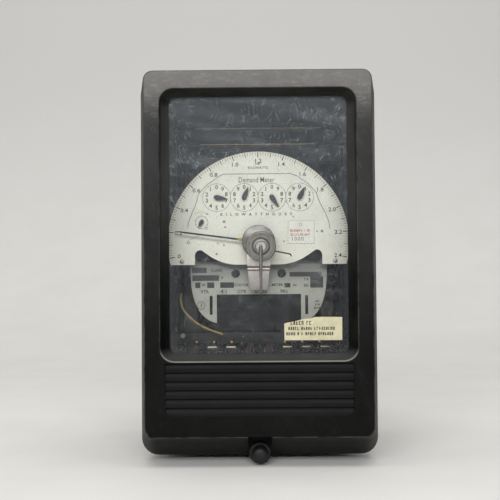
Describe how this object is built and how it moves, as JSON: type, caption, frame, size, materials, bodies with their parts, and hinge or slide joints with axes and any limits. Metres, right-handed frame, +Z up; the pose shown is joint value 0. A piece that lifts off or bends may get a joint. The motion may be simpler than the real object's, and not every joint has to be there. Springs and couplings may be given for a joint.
{
  "type": "analog dial electric meter",
  "caption": "Switchboard demand meter: black windowed cover over a sliding chassis with a white demand dial, register pointers, rotor disk and knife-blade test switches.",
  "frame": {"origin": "centre of the bounding box's underside, level with the lowest point of the thumb nut's collar", "axes": "+X to the right seen from the front, +Y from the cover's face back to the terminals, +Z up"},
  "size_m": [0.1684, 0.1978, 0.2732],
  "materials": {
    "moulding": "moulded phenolic, worn satin",
    "case_steel": "baked black enamel",
    "dark_sheet": "dark grey enamel",
    "gasket_rubber": "matt",
    "window_clear": "clear moulded window, lightly scratched",
    "dial_white": "cream-white printed enamel",
    "plate_grey": "printed, aged",
    "bright_steel": "bright, brushed",
    "aluminium": "satin",
    "brass": "dull",
    "copper": "tarnished copper",
    "coil_tape": "varnished cotton tape",
    "laminations": "oxidised steel sheets",
    "magnet_grey": "cast, painted",
    "pointer_blue": "blue-grey lacquer",
    "needle_black": "black lacquer",
    "lead_yellow": "aged insulation"
  },
  "bodies": {
    "case": {"case_shell": "case_steel", "cover_gasket": "gasket_rubber", "cover_stud": "bright_steel", "terminal_board": "moulding", "switch_base": "moulding", "terminal_stud_1": "brass", "terminal_stud_2": "brass", "terminal_stud_3": "brass", "terminal_stud_4": "brass", "terminal_stud_5": "brass", "terminal_stud_6": "brass", "terminal_stud_7": "brass", "terminal_stud_8": "brass", "terminal_stud_9": "brass", "terminal_stud_10": "brass", "panel_stud_1": "bright_steel", "panel_stud_2": "bright_steel", "panel_stud_3": "bright_steel", "panel_stud_4": "bright_steel"},
    "chassis": {"chassis_frame": "dark_sheet", "contact_block": "moulding", "dial_plate": "dial_white", "name_plate": "plate_grey", "register_frame": "brass", "hub_housing": "bright_steel", "hub_bracket": "bright_steel", "lower_bearing": "brass", "upper_bearing": "brass", "stator_core_left": "laminations", "stator_core_right": "laminations", "voltage_coil_left": "coil_tape", "voltage_coil_right": "coil_tape", "current_coil_left": "coil_tape", "current_coil_right": "coil_tape", "brake_magnet": "magnet_grey", "timing_motor": "aluminium", "lead_wire": "lead_yellow"},
    "cover": {"cover_frame": "moulding", "window_gasket": "gasket_rubber", "window_pane": "window_clear"},
    "thumb_nut": {"thumb_nut": "moulding"},
    "rotor": {"rotor_disk": "aluminium", "rotor_spindle": "bright_steel"},
    "demand_pointer": {"demand_pointer": "needle_black"},
    "reset_lever": {"reset_lever": "bright_steel"},
    "test_pointer": {"test_pointer": "pointer_blue"},
    "register_pointer_1": {"register_pointer_1": "pointer_blue"},
    "register_pointer_2": {"register_pointer_2": "pointer_blue"},
    "register_pointer_3": {"register_pointer_3": "pointer_blue"},
    "register_pointer_4": {"register_pointer_4": "pointer_blue"},
    "test_switch_1": {"test_switch_1": "copper"},
    "test_switch_2": {"test_switch_2": "copper"},
    "test_switch_3": {"test_switch_3": "copper"},
    "test_switch_4": {"test_switch_4": "copper"},
    "test_switch_5": {"test_switch_5": "copper"},
    "test_switch_6": {"test_switch_6": "copper"},
    "test_switch_7": {"test_switch_7": "copper"},
    "test_switch_8": {"test_switch_8": "copper"},
    "test_switch_9": {"test_switch_9": "copper"},
    "test_switch_10": {"test_switch_10": "copper"}
  },
  "joints": [
    {"name": "chassis_draw", "type": "slide", "parent": "case", "child": "chassis", "axis": [0, -1, 0], "range_m": [0, 0.15]},
    {"name": "cover_lift", "type": "slide", "parent": "chassis", "child": "cover", "axis": [0, -1, 0], "range_m": [0, 0.12]},
    {"name": "thumb_nut_turn", "type": "hinge", "parent": "cover", "child": "thumb_nut", "pos_m": [0, -0.08895, 0.0076], "axis": [0, 1, 0], "continuous": true},
    {"name": "rotor_spin", "type": "hinge", "parent": "chassis", "child": "rotor", "pos_m": [0, 0.00605, 0.1109], "axis": [0, 0, 1], "continuous": true},
    {"name": "register_pointer_1_turn", "type": "hinge", "parent": "chassis", "child": "register_pointer_1", "pos_m": [-0.0303, -0.05395, 0.1875], "axis": [0, 1, 0], "continuous": true},
    {"name": "register_pointer_2_turn", "type": "hinge", "parent": "chassis", "child": "register_pointer_2", "pos_m": [-0.0101, -0.05395, 0.1875], "axis": [0, 1, 0], "continuous": true},
    {"name": "register_pointer_3_turn", "type": "hinge", "parent": "chassis", "child": "register_pointer_3", "pos_m": [0.0101, -0.05395, 0.1875], "axis": [0, 1, 0], "continuous": true},
    {"name": "register_pointer_4_turn", "type": "hinge", "parent": "chassis", "child": "register_pointer_4", "pos_m": [0.0303, -0.05395, 0.1875], "axis": [0, 1, 0], "continuous": true},
    {"name": "test_pointer_turn", "type": "hinge", "parent": "chassis", "child": "test_pointer", "pos_m": [-0.0414, -0.05395, 0.1695], "axis": [0, 1, 0], "continuous": true},
    {"name": "demand_pointer_swing", "type": "hinge", "parent": "chassis", "child": "demand_pointer", "pos_m": [0, -0.05975, 0.1549], "axis": [0, 1, 0], "range_deg": [-17.5, 182.5]},
    {"name": "reset_lever_swing", "type": "hinge", "parent": "chassis", "child": "reset_lever", "pos_m": [0.0017, -0.06995, 0.1512], "axis": [0, 1, 0], "range_deg": [-18, 18], "stiffness_Nm_per_rad": 0.002},
    {"name": "test_switch_1_open", "type": "hinge", "parent": "case", "child": "test_switch_1", "pos_m": [-0.06187, -0.04295, 0.0452], "axis": [1, 0, 0], "range_deg": [0, 90]},
    {"name": "test_switch_2_open", "type": "hinge", "parent": "case", "child": "test_switch_2", "pos_m": [-0.04813, -0.04295, 0.0452], "axis": [1, 0, 0], "range_deg": [0, 90]},
    {"name": "test_switch_3_open", "type": "hinge", "parent": "case", "child": "test_switch_3", "pos_m": [-0.03438, -0.04295, 0.0452], "axis": [1, 0, 0], "range_deg": [0, 90]},
    {"name": "test_switch_4_open", "type": "hinge", "parent": "case", "child": "test_switch_4", "pos_m": [-0.02063, -0.04295, 0.0452], "axis": [1, 0, 0], "range_deg": [0, 90]},
    {"name": "test_switch_5_open", "type": "hinge", "parent": "case", "child": "test_switch_5", "pos_m": [-0.00688, -0.04295, 0.0452], "axis": [1, 0, 0], "range_deg": [0, 90]},
    {"name": "test_switch_6_open", "type": "hinge", "parent": "case", "child": "test_switch_6", "pos_m": [0.00688, -0.04295, 0.0452], "axis": [1, 0, 0], "range_deg": [0, 90]},
    {"name": "test_switch_7_open", "type": "hinge", "parent": "case", "child": "test_switch_7", "pos_m": [0.02063, -0.04295, 0.0452], "axis": [1, 0, 0], "range_deg": [0, 90]},
    {"name": "test_switch_8_open", "type": "hinge", "parent": "case", "child": "test_switch_8", "pos_m": [0.03438, -0.04295, 0.0452], "axis": [1, 0, 0], "range_deg": [0, 90]},
    {"name": "test_switch_9_open", "type": "hinge", "parent": "case", "child": "test_switch_9", "pos_m": [0.04813, -0.04295, 0.0452], "axis": [1, 0, 0], "range_deg": [0, 90]},
    {"name": "test_switch_10_open", "type": "hinge", "parent": "case", "child": "test_switch_10", "pos_m": [0.06187, -0.04295, 0.0452], "axis": [1, 0, 0], "range_deg": [0, 90]}
  ],
  "couplings": [
    {"joint": "register_pointer_1_turn", "follows": "rotor_spin", "ratio": -0.000006},
    {"joint": "register_pointer_2_turn", "follows": "rotor_spin", "ratio": 0.00006},
    {"joint": "register_pointer_3_turn", "follows": "rotor_spin", "ratio": -0.0006},
    {"joint": "register_pointer_4_turn", "follows": "rotor_spin", "ratio": 0.006},
    {"joint": "test_pointer_turn", "follows": "rotor_spin", "ratio": 0.06}
  ]
}
